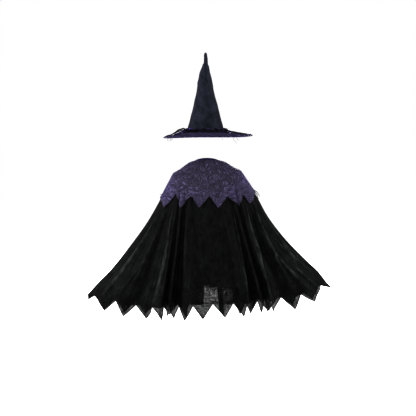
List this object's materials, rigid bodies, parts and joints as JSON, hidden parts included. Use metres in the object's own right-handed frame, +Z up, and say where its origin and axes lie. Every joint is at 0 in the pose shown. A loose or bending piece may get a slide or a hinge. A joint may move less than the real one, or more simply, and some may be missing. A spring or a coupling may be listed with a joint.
{
  "type": "witch costume",
  "caption": "Child's witch costume: a flared black gauze cape and purple capelet, both with pointed hems, and a tall pointed hat with a twisted rag band.",
  "frame": {"origin": "middle of the neck opening, level with its back edge, where the wearer's neck holds the cape", "axes": "+Z up the wearer, -Y out of the wearer's back, the side in the picture, +X to the right in the picture"},
  "size_m": [1.2393, 0.4572, 1.3522],
  "materials": {
    "gauze": "matte loose weave, sheer at the hem",
    "velvet": "crushed pile with a soft sheen",
    "binding": "satin tape",
    "hat_cloth": "matte stiffened cloth",
    "rag_black": "torn gauze strip",
    "rag_purple": "torn satin strip"
  },
  "bodies": {
    "root": {"cape_back": "gauze", "cape_side_left": "gauze", "cape_side_right": "gauze", "cape_front_left": "gauze", "cape_front_right": "gauze", "facing_right": "gauze", "capelet_back": "velvet", "capelet_front_left": "velvet", "capelet_front_right": "velvet", "neck_binding": "binding", "neck_tab": "binding", "hat_crown": "hat_cloth", "hat_brim": "hat_cloth", "hat_brim_binding": "binding", "hat_band_black": "rag_black", "hat_band_purple": "rag_purple", "hat_strip_black_a": "rag_black", "hat_strip_black_b": "rag_black", "hat_strip_black_c": "rag_black", "hat_strip_purple_a": "rag_purple", "hat_strip_purple_b": "rag_purple"}
  },
  "joints": []
}
